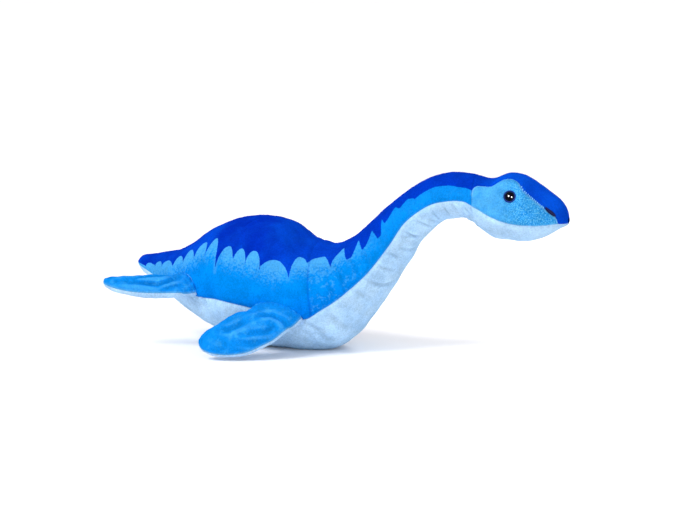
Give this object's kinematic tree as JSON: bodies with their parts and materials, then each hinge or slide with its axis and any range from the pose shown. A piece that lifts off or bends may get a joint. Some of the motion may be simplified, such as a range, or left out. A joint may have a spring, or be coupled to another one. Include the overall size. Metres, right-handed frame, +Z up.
{
  "type": "stuffed plesiosaur toy",
  "caption": "Plush long-necked marine reptile that rests on its belly, with a bending neck, a nodding head, a short tail and flippers that flap.",
  "frame": {"origin": "centre of the bounding box at the surface that the belly rests on", "axes": "+X from the tail to the head, +Y to the animal's left, +Z up"},
  "size_m": [0.437, 0.2022, 0.175],
  "materials": {
    "plush_mid": "short printed plush pile, mid blue with a dark blue back",
    "plush_dark": "short plush pile, dark blue",
    "plush_pale": "short plush pile, pale blue",
    "plush_cheek": "speckled curly plush pile, light blue",
    "nostril_thread": "satin stitch thread",
    "polyester_filling": "loose fibre",
    "pellets": "pellets in a woven pouch",
    "eye_plastic": "glossy",
    "washer_plastic": "moulded"
  },
  "bodies": {
    "torso": {"body_side_right": "plush_mid", "body_side_left": "plush_mid", "belly_panel": "plush_pale", "neck_base_right": "plush_mid", "neck_base_left": "plush_mid", "body_filling": "polyester_filling", "pellet_pouch": "pellets"},
    "tail": {"tail_side_right": "plush_mid", "tail_side_left": "plush_mid", "tail_underside": "plush_pale", "tail_filling": "polyester_filling"},
    "neck_lower": {"neck_lower_side_right": "plush_mid", "neck_lower_side_left": "plush_mid", "throat_lower": "plush_pale", "neck_lower_filling": "polyester_filling"},
    "neck_upper": {"neck_upper_side_right": "plush_mid", "neck_upper_side_left": "plush_mid", "throat_upper": "plush_pale", "neck_upper_filling": "polyester_filling"},
    "head": {"crown_panel": "plush_dark", "cheek_right": "plush_cheek", "cheek_left": "plush_cheek", "jaw_panel": "plush_pale", "head_filling": "polyester_filling", "eye_right": "eye_plastic", "eye_left": "eye_plastic", "eye_washer_right": "washer_plastic", "eye_washer_left": "washer_plastic", "nostril_right": "nostril_thread", "nostril_left": "nostril_thread"},
    "front_flipper_right": {"front_flipper_top_right": "plush_mid", "front_flipper_under_right": "plush_pale", "front_flipper_filling_right": "polyester_filling"},
    "front_flipper_left": {"front_flipper_top_left": "plush_mid", "front_flipper_under_left": "plush_pale", "front_flipper_filling_left": "polyester_filling"},
    "rear_flipper_right": {"rear_flipper_top_right": "plush_mid", "rear_flipper_under_right": "plush_pale", "rear_flipper_filling_right": "polyester_filling"},
    "rear_flipper_left": {"rear_flipper_top_left": "plush_mid", "rear_flipper_under_left": "plush_pale", "rear_flipper_filling_left": "polyester_filling"}
  },
  "joints": [
    {"name": "tail_wag", "type": "hinge", "parent": "torso", "child": "tail", "pos_m": [-0.168, 0, 0.063], "axis": [0, 0, 1], "range_deg": [-20, 20], "stiffness_Nm_per_rad": 0.1},
    {"name": "neck_bend", "type": "hinge", "parent": "torso", "child": "neck_lower", "pos_m": [0.0125, 0, 0.0675], "axis": [0, -1, 0], "range_deg": [-20, 14], "stiffness_Nm_per_rad": 1.5},
    {"name": "neck_sway", "type": "hinge", "parent": "neck_lower", "child": "neck_upper", "pos_m": [0.05909, 0, 0.11884], "axis": [-0.7186, 0, 0.6954], "range_deg": [-20, 20], "stiffness_Nm_per_rad": 0.6},
    {"name": "head_nod", "type": "hinge", "parent": "neck_upper", "child": "head", "pos_m": [0.13012, 0, 0.14981], "axis": [0, -1, 0], "range_deg": [-16, 16], "stiffness_Nm_per_rad": 0.6},
    {"name": "front_flipper_flap_right", "type": "hinge", "parent": "torso", "child": "front_flipper_right", "pos_m": [-0.0405, -0.0595, 0.04], "axis": [-0.9583, -0.1198, 0.2595], "range_deg": [-5, 50], "stiffness_Nm_per_rad": 0.1},
    {"name": "front_flipper_flap_left", "type": "hinge", "parent": "torso", "child": "front_flipper_left", "pos_m": [-0.0405, 0.0595, 0.04], "axis": [0.9583, -0.1198, -0.2595], "range_deg": [-5, 50], "stiffness_Nm_per_rad": 0.1},
    {"name": "rear_flipper_flap_right", "type": "hinge", "parent": "torso", "child": "rear_flipper_right", "pos_m": [-0.1335, -0.0505, 0.056], "axis": [-0.8515, 0.3606, 0.3807], "range_deg": [-15, 40], "stiffness_Nm_per_rad": 0.1},
    {"name": "rear_flipper_flap_left", "type": "hinge", "parent": "torso", "child": "rear_flipper_left", "pos_m": [-0.1335, 0.0505, 0.056], "axis": [0.8515, 0.3606, -0.3807], "range_deg": [-15, 40], "stiffness_Nm_per_rad": 0.1}
  ]
}
